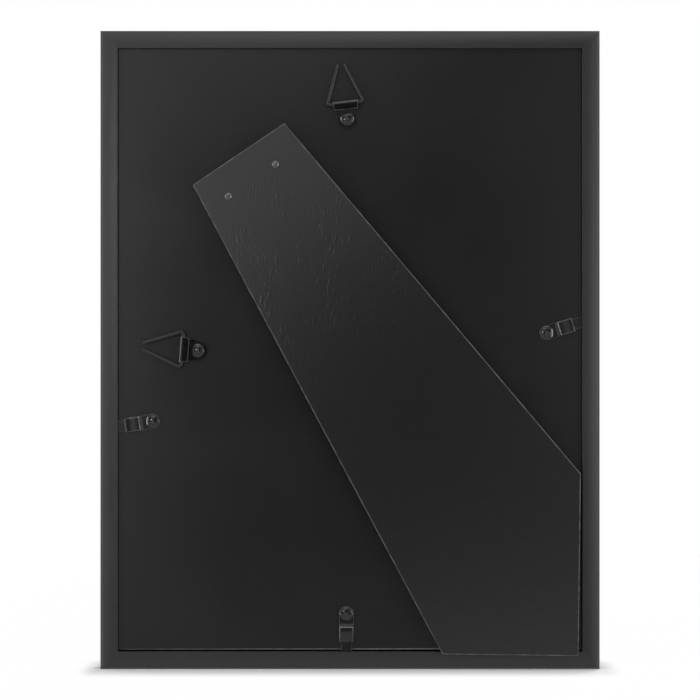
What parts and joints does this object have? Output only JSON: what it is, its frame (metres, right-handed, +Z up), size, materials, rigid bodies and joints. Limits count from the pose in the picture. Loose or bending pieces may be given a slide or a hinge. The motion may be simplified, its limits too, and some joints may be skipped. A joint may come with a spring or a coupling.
{
  "type": "easel back photo frame",
  "caption": "Black photo frame seen from behind, with a hinged easel strut, wire ring hangers for hanging either way up and turn clips that hold the backing panel.",
  "frame": {"origin": "middle of the flat underside of the bottom rail, half way through the depth of the moulding", "axes": "+Z up to the top of the portrait picture, +Y out of the back, -Y out of the front through the glass, +X to the right as seen from the front"},
  "size_m": [0.2338, 0.0219, 0.2987],
  "materials": {
    "moulding": "satin black paint on wood",
    "nail_steel": "plain steel strip",
    "glass": "clear picture glass",
    "picture_paper": "printed paper",
    "filler": "plain brown card",
    "hardboard": "dyed fibreboard with paler cut edges",
    "black_paper": "smooth black facing paper",
    "strut_core": "dyed board with paler cut edges",
    "leatherette": "black embossed leatherette paper",
    "hinge_steel": "zinc plated",
    "rivet_steel": "glossy black lacquer on steel",
    "hanger_steel": "glossy black lacquer on steel",
    "clip_steel": "glossy black lacquer on steel"
  },
  "bodies": {
    "frame": {"top_rail": "moulding", "bottom_rail": "moulding", "left_rail": "moulding", "right_rail": "moulding", "corner_nails": "nail_steel", "glass_pane": "glass", "picture_sheet": "picture_paper", "filler_card": "filler", "back_board": "hardboard", "back_facing": "black_paper", "hinge_plate": "hinge_steel", "hinge_pin": "hinge_steel", "plate_rivets": "rivet_steel", "top_hanger_rivet": "rivet_steel", "side_hanger_rivet": "rivet_steel", "left_clip_rivet": "rivet_steel", "right_clip_rivet": "rivet_steel", "bottom_clip_rivet": "rivet_steel"},
    "strut": {"strut_board": "strut_core", "strut_facing": "leatherette", "hinge_flap": "hinge_steel", "strut_rivets": "rivet_steel"},
    "top_hanger": {"top_hanger_strap": "hanger_steel"},
    "top_ring": {"top_hanger_ring": "hanger_steel"},
    "side_hanger": {"side_hanger_strap": "hanger_steel"},
    "side_ring": {"side_hanger_ring": "hanger_steel"},
    "left_clip": {"left_clip": "clip_steel"},
    "right_clip": {"right_clip": "clip_steel"},
    "bottom_clip": {"bottom_clip": "clip_steel"}
  },
  "joints": [
    {"name": "strut_hinge", "type": "hinge", "parent": "frame", "child": "strut", "pos_m": [0.05116, 0.008, 0.23649], "axis": [0.8279, 0, -0.5609], "range_deg": [0, 30]},
    {"name": "top_hanger_swivel", "type": "hinge", "parent": "frame", "child": "top_hanger", "pos_m": [0.0013, 0.00685, 0.25745], "axis": [0, 1, 0], "range_deg": [-20, 20]},
    {"name": "top_ring_swing", "type": "hinge", "parent": "top_hanger", "child": "top_ring", "pos_m": [0.00212, 0.00863, 0.2646], "axis": [-0.9936, 0, 0.1132], "range_deg": [0, 175]},
    {"name": "side_hanger_swivel", "type": "hinge", "parent": "frame", "child": "side_hanger", "pos_m": [0.0712, 0.00685, 0.14907], "axis": [0, 1, 0], "range_deg": [-20, 20]},
    {"name": "side_ring_swing", "type": "hinge", "parent": "side_hanger", "child": "side_ring", "pos_m": [0.07838, 0.00863, 0.14963], "axis": [-0.0785, 0, 0.9969], "range_deg": [0, 175]},
    {"name": "left_clip_turn", "type": "hinge", "parent": "frame", "child": "left_clip", "pos_m": [0.0922, 0.00685, 0.11607], "axis": [0, 1, 0], "continuous": true},
    {"name": "right_clip_turn", "type": "hinge", "parent": "frame", "child": "right_clip", "pos_m": [-0.0919, 0.00685, 0.15736], "axis": [0, 1, 0], "continuous": true},
    {"name": "bottom_clip_turn", "type": "hinge", "parent": "frame", "child": "bottom_clip", "pos_m": [0.00169, 0.00685, 0.02615], "axis": [0, 1, 0], "continuous": true}
  ]
}
